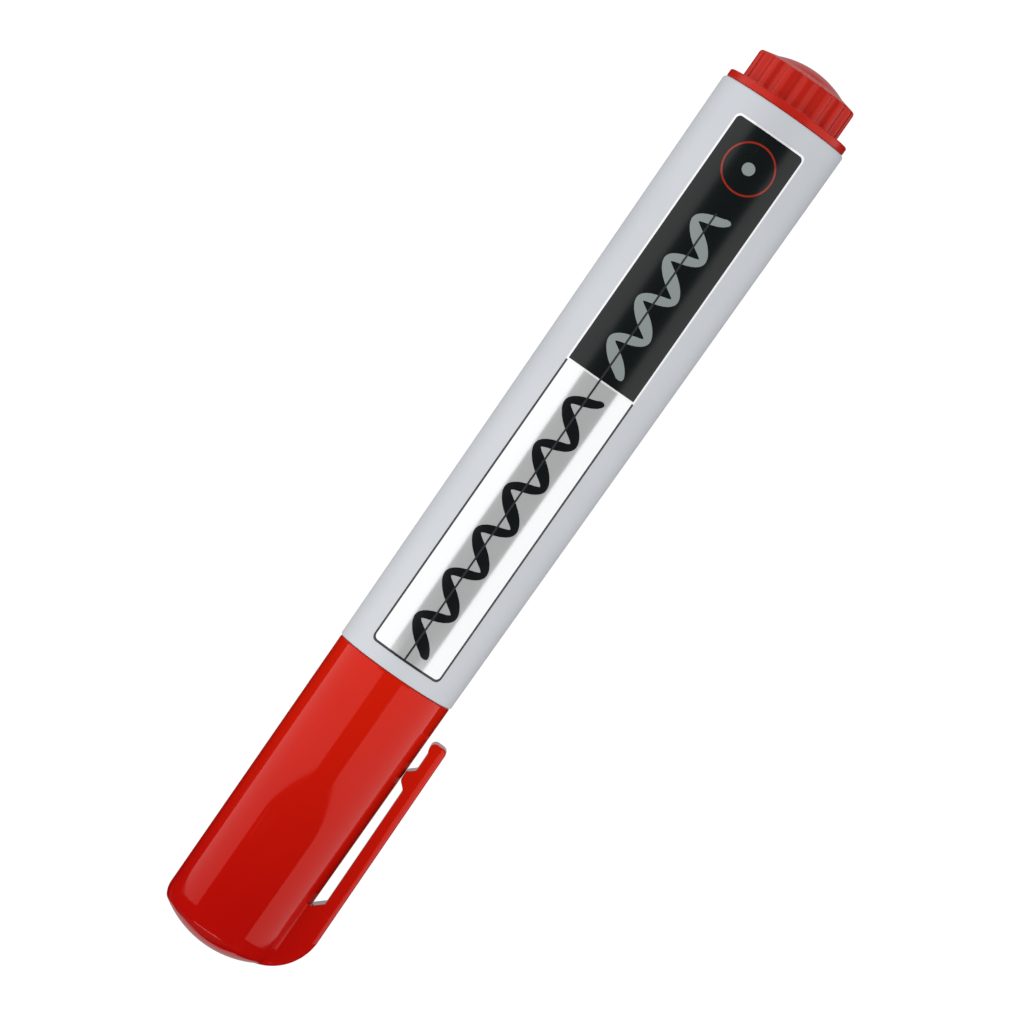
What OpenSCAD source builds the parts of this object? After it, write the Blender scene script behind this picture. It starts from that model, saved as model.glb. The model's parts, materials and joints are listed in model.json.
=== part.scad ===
// Whiteboard marker with a push-on clip cap and a fluted end plug.
// The marker's axis is X, from the cap's closed end to the end plug. It is drawn along X from 0
// and then laid on the table: rolled onto the corner of its clip, with Z = 0 on the table.

/* [Overall] */
// Length from the cap's closed end to the end plug's dome
marker_len = 136; // [132:0.5:142]

/* [Cap] */
// Length of the cap, closed end to mouth
cap_len = 42.65; // [40:0.05:44]
// Outer radius at the closed end, behind the rounded corner
cap_front_r = 8.24; // [8.1:0.01:8.3]
// Outer radius at the mouth
cap_mouth_r = 8.41; // [8.35:0.01:8.5]
// Height of the domed end
cap_dome_h = 2.4; // [1.8:0.1:2.8]
// Radius of the edge ring around the dome
cap_dome_r = 7.7; // [7.4:0.05:7.9]
// Length of the rounded corner behind the edge ring
cap_corner_len = 1.8; // [1.2:0.1:2.4]
// Wall thickness
cap_wall = 1.06; // [0.9:0.02:1.1]

/* [Clip] */
// Width of the clip
clip_w = 5.6; // [4.5:0.1:7]
// Thickness of the clip arm
clip_t = 2; // [1.6:0.05:2.2]
// Distance of the outer face from the marker's axis, at the root
clip_rise = 11.68; // [11.2:0.02:12]
// How far the outer face comes in from the root to the tip
clip_fall = 0.33; // [0.2:0.01:0.8]
// Place of the clip's tip along the marker
clip_tip_x = 38.2; // [34:0.1:40]
// Radius of the big outer corner at the root
clip_corner_r = 7.15; // [6.8:0.05:7.4]
// Rounding of the long outer edges
clip_edge_r = 0.8; // [0.4:0.1:1.2]
// Where the solid root ends and the flexing arm starts
clip_split_x = 14.2; // [13.8:0.1:16]

/* [Barrel] */
// Outer radius at the front shoulder
barrel_front_r = 8.53; // [8.5:0.01:8.7]
// Outer radius at the rear edge
barrel_rear_r = 9.23; // [9:0.01:9.4]
// Radius of the neck that the cap slides over
neck_r = 7.2; // [7:0.05:7.25]
// Radius of the seat for the end plug
plug_seat_r = 7.8; // [7.6:0.05:7.9]
// Number of ribs that centre the reservoir
rib_count = 6; // [4:1:8]

/* [End plug] */
// Radius of the flange
flange_r = 8.94; // [8.7:0.02:9.1]
// Thickness of the flange
flange_t = 1.15; // [1:0.05:1.5]
// Radius of the fluted knob
knob_r = 7.3; // [7:0.05:7.4]
// Length of the knob behind the flange, without its dome
knob_len = 4.25; // [3.5:0.05:5]
// Height of the domed end
knob_dome_h = 1.5; // [1:0.1:2]
// Number of flutes
flute_count = 16; // [12:1:20]
// Depth of the flutes
flute_depth = 0.45; // [0.3:0.05:0.6]

/* [Nib and ink] */
// Radius of the nib
nib_r = 2.4; // [2.2:0.05:2.5]
// Place of the writing tip along the marker, under the cap
nib_tip_x = 9; // [8:0.1:10]
// Radius of the band that the inner cap seals on
seal_r = 4.5; // [4.3:0.05:4.6]
// Radius of the fibre reservoir
reservoir_r = 5.88; // [5.6:0.02:5.9]
// Thickness of the film around the reservoir
wrap_t = 0.12; // [0.1:0.01:0.14]

/* [Label] */
// Length of the label
label_len = 80.7; // [70:0.1:82]
// Width of the label, straight across
label_w = 10.3; // [9:0.1:12]
// Radius of its corners
label_corner_r = 0.8; // [0.5:0.1:1.5]
// Thickness of the film
label_t = 0.12; // [0.1:0.01:0.15]

/* [Hidden] */
$fn = 96;
eps = 0.01;

// Places along the marker
shoulder_x = cap_len + 0.05;
rear_x = marker_len - knob_dome_h - knob_len - flange_t;
knob_x = rear_x + flange_t;
nose_x = 25.5;
holder_tip_x = 14.5;
liner_mouth_x = 23.8;
reservoir_x = 36.3;
reservoir_end_x = 112;
label_x = 44.8;
glue_t = 0.01;

// Cap
dome_sphere_r = (cap_dome_r * cap_dome_r + cap_dome_h * cap_dome_h) / (2 * cap_dome_h);
corner_rise = cap_front_r - cap_dome_r;
corner_r = (corner_rise * corner_rise + cap_corner_len * cap_corner_len) / (2 * corner_rise);
cap_side_x = cap_dome_h + cap_corner_len;
rim_round = 0.25;
cap_bore_front_r = 7.05;
cap_bore_r = 7.35;
cap_bore_taper_x = [4.6, 31];
inner_dome_r = 6.4;

// Clip
clip_root_x = 8.7;
clip_slope = atan(clip_fall / (clip_tip_x - clip_root_x));
clip_tip_r = 0.75;
clip_bump_x = [30.5, 34];
clip_bump_top = [31.6, 33.1];
clip_gap_x = [12.1, 13.3];
clip_clear = 0.03;

// Sealing liner
liner_end_x = 4.7;
liner_wall = 1;
liner_r = 5.6;
liner_bore_r = 4.75;
liner_seal_r = seal_r + 0.06;
liner_seal_len = 5.8;
liner_fins = 6;
liner_fin_x = 20;

// Nose and neck
nose_bore_r = 4.4;
nose_r = [5.7, 6.9];
neck_x = 33.4;
front_bore_r = 6.05;
front_bore_x = 46;
plug_seat_x = rear_x - 11.4;
front_round = 0.2;
rear_round = 0.4;
rib_end_x = 110;
nib_tail_r = 1.5;
nib_tail_x = [36, 42];

// End plug
skirt_r = plug_seat_r - 0.1;
skirt_len = 9.4;
skirt_bore_r = 6.5;
knob_bore_r = 5.2;
knob_dome_r = 5;
knob_sphere_r = 12;
knob_round = 0.55;
flute_r = 0.8;
flute_phase = 0.62;

// Lying on the table: the clip's outer edge and the barrel's rear edge both touch it
edge_y = clip_rise - clip_edge_r;
edge_z = clip_w / 2 - clip_edge_r;
roll = asin((barrel_rear_r - clip_edge_r) / norm([edge_y, edge_z])) - atan(edge_z / edge_y);
low_y = -(edge_y * cos(roll) + edge_z * sin(roll) + clip_edge_r);
middle_y = (low_y + barrel_rear_r) / 2;

// Lays the marker on the table with its middle over the origin
module lay() {
    translate([-marker_len / 2, -middle_y, barrel_rear_r]) rotate([roll, 0, 0]) children();
}

// Turns a lathe profile of [radius, place along the marker] points about the X axis
module lathe(points) {
    rotate([0, 90, 0]) rotate_extrude() polygon(points);
}

// A plain bar along X from x0 to x1
module rod(x0, x1, r) {
    translate([x0, 0, 0]) rotate([0, 90, 0]) cylinder(h = x1 - x0, r = r);
}

// Arc in [radius, x] points around a centre on the profile, from angle a0 to a1
function arc(centre, r, a0, a1, n) =
    [for (i = [0:n]) centre + r * [cos(a0 + (a1 - a0) * i / n), sin(a0 + (a1 - a0) * i / n)]];

// Value on a straight line through [x0, v0] and [x1, v1]
function line(x, x0, x1, v0, v1) = v0 + (v1 - v0) * (x - x0) / (x1 - x0);

function barrel_r(x) =
    line(x, shoulder_x + front_round, rear_x - rear_round, barrel_front_r, barrel_rear_r);
function bore_r(x) = line(x, cap_bore_taper_x[0], cap_bore_taper_x[1], cap_bore_front_r, cap_bore_r);
function clip_outer(x) = clip_rise - clip_fall * (x - clip_root_x) / (clip_tip_x - clip_root_x);
function clip_inner(x) = clip_outer(x) - clip_t;
function cap_outer(x) = line(x, cap_side_x, cap_len, cap_front_r, cap_mouth_r);

// Outside of the cap without its clip
module cap_outside() {
    dome_a = asin(cap_dome_r / dome_sphere_r);
    corner_a = asin(cap_corner_len / corner_r);
    lathe(concat(
        arc([0, dome_sphere_r], dome_sphere_r, -90, dome_a - 90, 12),
        arc([cap_front_r - corner_r, cap_side_x], corner_r, -corner_a, 0, 6),
        arc([cap_mouth_r - rim_round, cap_len - rim_round], rim_round, 0, 90, 4),
        [[0, cap_len]]));
}

// Inside of the cap: domed end, drafted middle, straight mouth with a lead-in
module cap_inside() {
    end_r = dome_sphere_r - cap_wall;
    end_a = asin(inner_dome_r / end_r);
    lathe(concat(
        arc([0, dome_sphere_r], end_r, -90, end_a - 90, 8),
        [[cap_bore_front_r, cap_bore_taper_x[0]], [cap_bore_r, cap_bore_taper_x[1]],
         [cap_bore_r, cap_len - 0.4], [cap_bore_r + 0.3, cap_len + eps], [0, cap_len + eps]]));
}

// Cross-section of the clip, wider than the clip below its two rounded outer edges, which are at +X.
// The clip's outline, extruded to its width, trims the sides flat
module clip_section(depth, outer) {
    centre = [outer - clip_edge_r, clip_w / 2 - clip_edge_r];
    edge_a = 80;
    wide = clip_w / 2 + 0.5;
    polygon(concat(
        [[outer - depth, -wide]],
        arc([centre[0], -centre[1]], clip_edge_r, -edge_a, 0, 5),
        arc(centre, clip_edge_r, 0, edge_a, 5),
        [[outer - depth, wide]]));
}

// Straight bar of the clip's section from the root's corner on, along its slightly falling outer face
module clip_bar(x1, depth) {
    translate([clip_root_x, -clip_rise, 0]) rotate([0, 0, clip_slope])
        rotate([-90, 0, 0]) rotate([0, 90, 0])
            linear_extrude(height = (x1 - clip_root_x) / cos(clip_slope)) clip_section(depth, 0);
}

// Fixed root of the clip: the big rounded corner that grows out of the closed end. The slot
// under the arm starts at a slanted face, and the arm itself starts at the split
module clip_root() {
    intersection() {
        union() {
            translate([clip_root_x, clip_corner_r - clip_rise, 0])
                rotate_extrude() clip_section(clip_corner_r, clip_corner_r);
            clip_bar(clip_split_x + 1, clip_rise - cap_front_r + cap_wall / 2);
        }
        linear_extrude(height = clip_w, center = true)
            polygon([[0, -cap_front_r / 2],
                     [clip_gap_x[0], -cap_front_r / 2],
                     [clip_gap_x[0], -cap_outer(clip_gap_x[0])],
                     [clip_gap_x[0] + 0.35, -cap_outer(clip_gap_x[0]) - 0.7],
                     [clip_gap_x[1], -clip_inner(clip_gap_x[1])],
                     [clip_split_x, -clip_inner(clip_split_x)],
                     [clip_split_x, -clip_rise - 1],
                     [0, -clip_rise - 1]]);
    }
}

module cap_shell() {
    color("#c8170f") lay() difference() {
        union() {
            cap_outside();
            clip_root();
        }
        cap_inside();
    }
}

// Side outline of the clip arm: straight outer face, round tip, bump that bears on the cap
module clip_outline() {
    tip_x = clip_tip_x - clip_tip_r;
    bump_y = -cap_outer(clip_bump_top[1]) - clip_clear;
    polygon(concat(
        [[clip_split_x, -clip_outer(clip_split_x)]],
        arc([tip_x, clip_tip_r - clip_outer(clip_tip_x)], clip_tip_r, -90, 0, 6),
        arc([tip_x, -clip_tip_r - clip_inner(clip_tip_x)], clip_tip_r, 0, 90, 6),
        [[clip_bump_x[1], -clip_inner(clip_bump_x[1])],
         [clip_bump_top[1] + 0.1, bump_y - 0.15],
         [clip_bump_top[1] - 0.1, bump_y],
         [clip_bump_top[0] + 0.1, bump_y],
         [clip_bump_top[0] - 0.1, bump_y - 0.15],
         [clip_bump_x[0], -clip_inner(clip_bump_x[0])],
         [clip_split_x, -clip_inner(clip_split_x)]]));
}

module cap_clip() {
    color("#c8170f") lay() intersection() {
        clip_bar(clip_tip_x + 1, clip_rise / 2);
        linear_extrude(height = clip_w, center = true) clip_outline();
    }
}

// Cup pressed into the cap's closed end; its mouth seals around the nib holder
module inner_cap() {
    color("#f4f4f0") lay() difference() {
        union() {
            rod(liner_end_x, liner_mouth_x, liner_r);
            intersection() {
                union() {
                    rod(liner_end_x, liner_end_x + liner_wall, cap_bore_r);
                    for (i = [0:liner_fins - 1])
                        rotate([360 / liner_fins * i, 0, 0]) translate([liner_end_x, 0, -0.4])
                            cube([liner_fin_x - liner_end_x, cap_bore_r, 0.8]);
                }
                lathe([[0, liner_end_x], [bore_r(liner_end_x), liner_end_x],
                       [bore_r(liner_fin_x - 2), liner_fin_x - 2], [liner_r, liner_fin_x],
                       [0, liner_fin_x]]);
            }
        }
        rod(liner_end_x + liner_wall, liner_mouth_x - liner_seal_len, liner_bore_r);
        rod(liner_mouth_x - liner_seal_len - eps, liner_mouth_x + eps, liner_seal_r);
    }
}

// Tube with the neck and the nose in one piece
module barrel() {
    bead_x = 38.2;
    bead_r = neck_r + 0.1;
    color("#d6d9dd") lay() union() {
        lathe(concat(
            [[nose_bore_r, nose_x], [nose_r[0] - 0.3, nose_x], [nose_r[0], nose_x + 0.3],
             [nose_r[1], neck_x - 1], [neck_r, neck_x],
             [neck_r, bead_x - 1], [bead_r, bead_x - 0.4], [bead_r, bead_x + 0.4], [neck_r, bead_x + 1],
             [neck_r, shoulder_x]],
            arc([barrel_front_r - front_round, shoulder_x + front_round], front_round, -90, 0, 4),
            arc([barrel_rear_r - rear_round, rear_x - rear_round], rear_round, 0, 90, 6),
            [[plug_seat_r + 0.3, rear_x], [plug_seat_r, rear_x - 0.4], [plug_seat_r, plug_seat_x],
             [plug_seat_r - 0.15, plug_seat_x - 0.3], [front_bore_r + 1.15, front_bore_x + 0.6],
             [front_bore_r, front_bore_x], [front_bore_r, nib_tail_x[0]],
             [nose_bore_r, nib_tail_x[0]]]));
        intersection() {
            for (i = [0:rib_count - 1])
                rotate([360 / rib_count * i, 0, 0])
                    translate([front_bore_x - 0.5, front_bore_r, -0.45])
                        cube([rib_end_x - front_bore_x, barrel_rear_r, 0.9]);
            lathe([[0, front_bore_x - 1], [front_bore_r + 1.5, front_bore_x - 1],
                   [plug_seat_r + 0.3, rib_end_x], [0, rib_end_x]]);
        }
    }
}

// Front section that grips the nib: seal band, collar and a shank pressed into the nose
module nib_holder() {
    groove_w = 0.7;
    color("#eceeee") lay() difference() {
        lathe([[nib_r, holder_tip_x], [nib_r + 0.75, holder_tip_x], [nib_r + 1.05, holder_tip_x + 0.3],
               [seal_r - 0.2, holder_tip_x + 4], [seal_r, holder_tip_x + 4.6],
               [seal_r, liner_mouth_x + 0.2], [5.2, liner_mouth_x + 0.2], [5.5, liner_mouth_x + 0.5],
               [5.5, nose_x], [nose_bore_r, nose_x], [nose_bore_r, nib_tail_x[0]],
               [nib_r, nib_tail_x[0]]]);
        for (i = [0:3])
            rotate([90 * i + 45, 0, 0]) translate([holder_tip_x - eps, nib_r - 0.3, -groove_w / 2])
                cube([nib_tail_x[0] - holder_tip_x + 2 * eps, 0.75, groove_w]);
    }
}

// Bullet-ended fibre rod, tapered at the rear where it enters the reservoir
module nib() {
    tip_len = 3.4;
    color("#3a0d0b") lay() lathe(concat(
        [for (i = [0:10]) [nib_r * sqrt(1 - pow(1 - i / 10, 2)), nib_tip_x + tip_len * i / 10]],
        [[nib_r, nib_tail_x[0]], [nib_tail_r, nib_tail_x[1]], [0, nib_tail_x[1]]]));
}

// Fibre rod with a tapered seat for the nib's tail
module reservoir() {
    color("#b5423a") lay() lathe([
        [line(reservoir_x, nib_tail_x[0], nib_tail_x[1], nib_r, nib_tail_r), reservoir_x],
        [reservoir_r, reservoir_x], [reservoir_r, reservoir_end_x], [0, reservoir_end_x],
        [0, nib_tail_x[1]], [nib_tail_r, nib_tail_x[1]]]);
}

module reservoir_wrap() {
    wrap_margin = 1.6;
    color("#e8e8e4") lay() difference() {
        rod(reservoir_x + wrap_margin, reservoir_end_x - wrap_margin, reservoir_r + wrap_t);
        rod(reservoir_x, reservoir_end_x, reservoir_r);
    }
}

// Rounded rectangle of film that follows the barrel
module label() {
    x1 = label_x + label_len;
    half = label_w / 2;
    c = label_corner_r;
    color("#f2f3f4") lay() intersection() {
        lathe([[barrel_r(label_x) + glue_t, label_x], [barrel_r(label_x) + glue_t + label_t, label_x],
               [barrel_r(x1) + glue_t + label_t, x1], [barrel_r(x1) + glue_t, x1]]);
        linear_extrude(height = 2 * barrel_rear_r) union() {
            translate([label_x, c - half]) square([label_len, label_w - 2 * c]);
            translate([label_x + c, -half]) square([label_len - 2 * c, label_w]);
            for (x = [label_x + c, x1 - c], y = [c - half, half - c])
                translate([x, y]) circle(r = c);
        }
    }
}

// One moulding: sealing skirt, stop fins, flange, fluted knob and dome
module end_plug() {
    bead = 0.07;
    skirt_x = rear_x - skirt_len;
    end_x = knob_x + knob_len;
    color("#c8170f") lay() difference() {
        union() {
            lathe(concat(
                [[skirt_bore_r, skirt_x], [skirt_r - 0.3, skirt_x], [skirt_r, skirt_x + 0.6],
                 [skirt_r, skirt_x + 1.6], [skirt_r + bead, skirt_x + 1.9], [skirt_r + bead, skirt_x + 2.6],
                 [skirt_r, skirt_x + 2.9], [skirt_r, skirt_x + 5.6], [skirt_r + bead, skirt_x + 5.9],
                 [skirt_r + bead, skirt_x + 6.6], [skirt_r, skirt_x + 6.9], [skirt_r, rear_x + eps],
                 [flange_r - 0.25, rear_x + eps], [flange_r, rear_x + 0.25],
                 [flange_r, knob_x - 0.25], [flange_r - 0.25, knob_x], [knob_r, knob_x]],
                arc([knob_r - knob_round, end_x - knob_round], knob_round, 0, 90, 5),
                arc([0, marker_len - knob_sphere_r], knob_sphere_r, 90 - asin(knob_dome_r / knob_sphere_r),
                    90, 10),
                [[0, end_x - 1.3], [knob_bore_r, end_x - 1.3], [knob_bore_r, rear_x + 0.6],
                 [skirt_bore_r, rear_x]]));
            intersection() {
                for (a = [0, 90]) rotate([a, 0, 0])
                    translate([reservoir_end_x + 0.05, -skirt_bore_r, -0.5])
                        cube([end_x - 1 - reservoir_end_x, 2 * skirt_bore_r, 1]);
                union() {
                    rod(reservoir_end_x, rear_x, skirt_bore_r + 0.2);
                    rod(rear_x - 1, end_x - 1.2, knob_bore_r + 0.2);
                }
            }
        }
        for (i = [0:flute_count - 1])
            rotate([360 / flute_count * (i + flute_phase), 0, 0])
                translate([0, knob_r + flute_r - flute_depth, 0])
                    rod(knob_x, marker_len, flute_r);
    }
}

cap_shell();
cap_clip();
inner_cap();
barrel();
nib_holder();
nib();
reservoir();
reservoir_wrap();
label();
end_plug();
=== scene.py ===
# %% [markdown]
# # A whiteboard marker
# The marker is a cap with a clip, a barrel with a label, and a fluted end plug. Inside are a sealing
# cup, a nib in its holder, and an ink reservoir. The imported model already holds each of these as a
# CAD solid that is right in size and place. The looks are added here: every solid that shows is
# modelled again with rounder edges, and each one gets its own material.

# %% Load the frame
import json
import math
import bpy
from mathutils import Matrix, Vector


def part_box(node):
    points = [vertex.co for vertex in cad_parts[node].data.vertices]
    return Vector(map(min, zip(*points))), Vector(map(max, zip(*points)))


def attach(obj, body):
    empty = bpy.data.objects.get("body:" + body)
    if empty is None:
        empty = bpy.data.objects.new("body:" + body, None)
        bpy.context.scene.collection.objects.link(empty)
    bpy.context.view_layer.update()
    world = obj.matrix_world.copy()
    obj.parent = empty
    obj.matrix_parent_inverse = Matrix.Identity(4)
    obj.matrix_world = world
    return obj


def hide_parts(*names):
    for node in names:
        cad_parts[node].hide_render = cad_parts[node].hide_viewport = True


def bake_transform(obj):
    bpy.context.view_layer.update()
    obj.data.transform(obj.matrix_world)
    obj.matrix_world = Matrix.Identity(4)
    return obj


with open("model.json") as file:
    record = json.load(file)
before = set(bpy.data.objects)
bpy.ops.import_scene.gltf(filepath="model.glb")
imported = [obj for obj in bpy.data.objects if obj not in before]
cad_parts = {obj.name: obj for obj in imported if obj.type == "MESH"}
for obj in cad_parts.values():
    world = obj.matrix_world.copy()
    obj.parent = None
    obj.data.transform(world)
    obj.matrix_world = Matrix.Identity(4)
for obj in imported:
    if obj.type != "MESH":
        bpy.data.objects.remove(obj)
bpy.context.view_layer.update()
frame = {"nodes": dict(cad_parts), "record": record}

# %% [markdown]
# A pen is easiest to model along its own axis: x runs from the cap's closed end to the plug, the
# label faces +z, and the clip points to -y. On the table the marker is rolled about that axis until
# the clip's edge touches. So each piece is made in the pen's own millimetres and laid down last, by
# one matrix. The roll comes from the clip's hinge, whose axis runs straight across the clip.

# %% The marker's own axes
MM = 0.001
joints = {j["name"]: j for j in frame["record"]["behaviour"]["joints"]}
hinge_axis = joints["clip_flex"]["axis"]
barrel_low, barrel_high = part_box("barrel")
plug_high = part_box("end_plug")[1]
cap_low, cap_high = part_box("cap_shell")
axis_y = (barrel_low[1] + barrel_high[1]) / 2
axis_z = (barrel_low[2] + barrel_high[2]) / 2
start_x = cap_low[0]
roll = math.atan2(hinge_axis[1], -hinge_axis[2])
LAY = Matrix.Translation((start_x, axis_y, axis_z)) @ Matrix.Rotation(roll, 4, "X")
ACROSS = Vector((0, -math.cos(roll), -math.sin(roll)))   # from the axis towards the clip
FACING = Vector((0, -math.sin(roll), math.cos(roll)))    # from the axis out through the label
marker_len = (plug_high[0] - start_x) / MM
print("marker length in mm:", round(marker_len, 2), "roll:", round(math.degrees(roll), 2))


def on_pen(x, across=0.0, facing=0.0):
    """A point given in the pen's millimetres, in the frame's metres."""
    return Vector((start_x + x * MM, axis_y, axis_z)) + ACROSS * across * MM + FACING * facing * MM

# %% [markdown]
# The camera looks straight down on the label from about 0.7 m with a long lens, and it is turned so
# that the plug points up and to the right. It stands a little towards the plug's end, which shows
# the rings around the marker as very flat arcs.

# %% Camera
camera_distance, towards_plug = 0.7135, 25 * MM
lens = 196.56
turn_on_page = math.radians(55.05)
aim = on_pen(67.90, across=0.51)
eye = aim + FACING * camera_distance + Vector((towards_plug, 0, 0))
back = (eye - aim).normalized()
along_page = (Vector((1, 0, 0)) - back * back.x).normalized()
across_page = back.cross(along_page)
page_right = along_page * math.cos(turn_on_page) - across_page * math.sin(turn_on_page)
page_up = along_page * math.sin(turn_on_page) + across_page * math.cos(turn_on_page)
bpy.ops.object.camera_add(location=eye)
camera = bpy.context.object
camera.name = "camera"
camera.rotation_mode = "QUATERNION"
camera.rotation_quaternion = Matrix((page_right, page_up, back)).transposed().to_quaternion()
camera.data.lens = lens
camera.data.sensor_width = 36
camera.data.clip_start = 0.01
bpy.context.scene.camera = camera
print("camera at", [round(v, 3) for v in eye])

# %% [markdown]
# The studio is a light tent over a light table. White light comes from all round, from below as well,
# so the marker casts no shadow. It is a little stronger on the side away from the clip, which gives
# the grey barrel its soft change of tone. The floor itself is plain white paper that glows.

# %% Light: sky and floor
dim_side, bright_side = 0.87, 1.13


def new_material(name):
    """A material, its node tree and its shader."""
    material = bpy.data.materials.new(name)
    material.use_nodes = True
    tree = material.node_tree
    return material, tree, tree.nodes["Principled BSDF"]


world = bpy.data.worlds.new("tent")
bpy.context.scene.world = world
world.use_nodes = True
tent = world.node_tree
sky = tent.nodes["Background"]
sky.inputs["Color"].default_value = (1.0, 1.0, 1.0, 1)
direction = tent.nodes.new("ShaderNodeTexCoord").outputs["Generated"]
lean = tent.nodes.new("ShaderNodeVectorMath")
lean.operation = "DOT_PRODUCT"
lean.inputs[1].default_value = -ACROSS
level = tent.nodes.new("ShaderNodeMapRange")
level.inputs["From Min"].default_value = -1
level.inputs["To Min"].default_value = dim_side
level.inputs["To Max"].default_value = bright_side
tent.links.new(direction, lean.inputs[0])
tent.links.new(lean.outputs["Value"], level.inputs["Value"])
tent.links.new(level.outputs[0], sky.inputs["Strength"])
world.cycles_visibility.glossy = False
bpy.context.scene.view_settings.view_transform = "Standard"

bpy.ops.object.select_all(action="DESELECT")
bpy.ops.mesh.primitive_plane_add(size=6)
floor = bpy.context.object
floor.name = "floor"
floor.visible_glossy = False
floor.visible_diffuse = False
floor_paint, _, paint = new_material("light_table")
paint.inputs["Base Color"].default_value = (0.05, 0.05, 0.05, 1)
paint.inputs["Roughness"].default_value = 1.0
paint.inputs["Emission Color"].default_value = (1, 1, 1, 1)
paint.inputs["Emission Strength"].default_value = 1.0
floor.data.materials.append(floor_paint)

# %% [markdown]
# Gloss needs something to reflect. Two big white cards curve round the marker, one on each side of
# the camera, and the slot left between them is what shows as the dark stripe along the cap. The slot
# is wide beyond the cap's closed end and narrows like the shoulders of a bottle, so its mirror image
# does too. A narrow third card lies straight below, where outlines and the clip's steep faces mirror
# it and stay light. Each card is a grid whose rows are pulled into place by a formula, with rows
# close enough for a crisp edge. The cards are seen in reflections only.

# %% Light: cards


def lamp_material(name, strength):
    """A plain glowing white."""
    material, tree, shader = new_material(name)
    tree.nodes.remove(shader)
    glow = tree.nodes.new("ShaderNodeEmission")
    glow.inputs["Strength"].default_value = strength
    tree.links.new(glow.outputs[0], tree.nodes["Material Output"].inputs["Surface"])
    return material


def share_of(x, x0, x1):
    """How far x is along the way from x0 to x1, held between 0 and 1."""
    return min(max((x - x0) / (x1 - x0), 0), 1)


def smoothly(x, x0, x1):
    """0 before x0, 1 after x1, and a smooth step between."""
    t = share_of(x, x0, x1)
    return t * t * (3 - 2 * t)


def lamp_only(lamp):
    """A stage piece that nothing but a reflection shows."""
    lamp.visible_camera = False
    lamp.visible_diffuse = False
    lamp.visible_shadow = False


card_radius = 110
card_start, card_end = -10, 230
card_columns, card_corner = 12, 4.6
mirror_r = 8.3
neck_x, neck_curve = (7.9, 16.8), 1.7
label_step_x = (34.3, 35.5)


def mirrored_at(share):
    """Angle of what the marker mirrors to the camera at a share of its radius from the middle."""
    return math.degrees(2 * math.asin(share) - math.asin(mirror_r / card_radius * share))


def card(name, side, inner, outer, strength, start=card_start, end=card_end):
    """A curved card between two angles round the marker; side is 1 at the clip's side and -1 away."""
    bpy.ops.object.select_all(action="DESELECT")
    rows = 2 * (end - start)
    bpy.ops.mesh.primitive_grid_add(x_subdivisions=rows, y_subdivisions=card_columns, size=2)
    made = bpy.context.object
    made.name = name
    for v in made.data.vertices:
        x = start + (end - start) * (v.co.x + 1) / 2
        share = (v.co.y + 1) / 2
        angle = math.radians(inner(x) + (outer(x) - inner(x)) * share) * side
        v.co = on_pen(x, card_radius * math.sin(angle), card_radius * math.cos(angle))
    made.data.materials.append(lamp_material(name, strength))
    lamp_only(made)
    print(name, "has", len(made.data.polygons), "faces")


def slot_edge(wide, narrow, label):
    """Half the slot, as shares of the radius: wide, a shoulder, narrow, and a step out at the label."""
    wide, narrow, label = mirrored_at(wide), mirrored_at(narrow), mirrored_at(label)
    return lambda x: (wide - (wide - narrow) * share_of(x, *neck_x) ** neck_curve
                      + (label - narrow) * smoothly(x, *label_step_x))


def card_edge(first, widest):
    """Outer edge of a card, as shares of the radius, with its far corner rounded off."""
    first, widest = mirrored_at(first), mirrored_at(widest)
    return lambda x: first + (widest - first) * math.sqrt(
        1 - (1 - share_of(x, card_start, card_start + card_corner)) ** 2)


card("card_away", -1, slot_edge(0.454, 0.138, 0.255), card_edge(0.49, 0.826), 1.0)
card("card_clip", 1, slot_edge(0.454, 0.192, 0.326), card_edge(0.52, 0.86), 1.03)
card("card_below", 1, lambda x: 164, lambda x: 196, 0.4, start=-100)

# %% [markdown]
# Two flat cards lie beyond the ends, level with the table: a bright one past the plug, whose dome
# mirrors it at a grazing angle and gets a pale rim, and a dim one past the cap. A low upright card
# past the cap puts a glint on the ring around its dome.

# %% Light: end cards


def flat_card(name, centre, size, strength, upright=False):
    """A flat glowing card, given in metres."""
    bpy.ops.object.select_all(action="DESELECT")
    turn = (0, math.pi / 2, 0) if upright else (0, 0, 0)
    bpy.ops.mesh.primitive_plane_add(size=1, location=centre, rotation=turn)
    made = bpy.context.object
    made.name = name
    made.dimensions = (size[0], size[1], 0)
    bpy.ops.object.transform_apply(location=True, rotation=True, scale=True)
    made.data.materials.append(lamp_material(name, strength))
    lamp_only(made)


end_x = plug_high[0]
flat_gap, flat_z, flat_size = 0.22, -0.001, (0.4, 0.5)
flat_card("card_past_plug", (end_x + flat_gap, axis_y, flat_z), flat_size, 0.5)
flat_card("card_past_cap", (start_x - flat_gap, axis_y, flat_z), flat_size, 0.04)
flat_card("card_low", (start_x - 0.42, axis_y, 0.07), (0.14, 0.3), 2.0, upright=True)

# %% [markdown]
# Most of a marker is turned work: it is round about one axis. On the computer that is a profile,
# drawn point by point, and a spin. The helpers below start from a small plane merged to a single
# point, draw it out with the extrude tool, and spin it round x. Long straight stretches get a
# support ring close to each end, so that smooth shading stays inside the small rounded edges.

# %% Helpers: outline and spin


def arc(centre_x, centre_r, radius, start, end, steps):
    """Points [x, r] of a round stretch of profile; angles in degrees, 0 along +x and 90 outwards."""
    angles = [math.radians(start + (end - start) * i / steps) for i in range(steps + 1)]
    return [(centre_x + radius * math.cos(a), centre_r + radius * math.sin(a)) for a in angles]


def stretch(x0, r0, x1, r1, steps):
    """Points inside a straight stretch of profile, without its two ends."""
    return [(x0 + (x1 - x0) * i / steps, r0 + (r1 - r0) * i / steps) for i in range(1, steps)]


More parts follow.
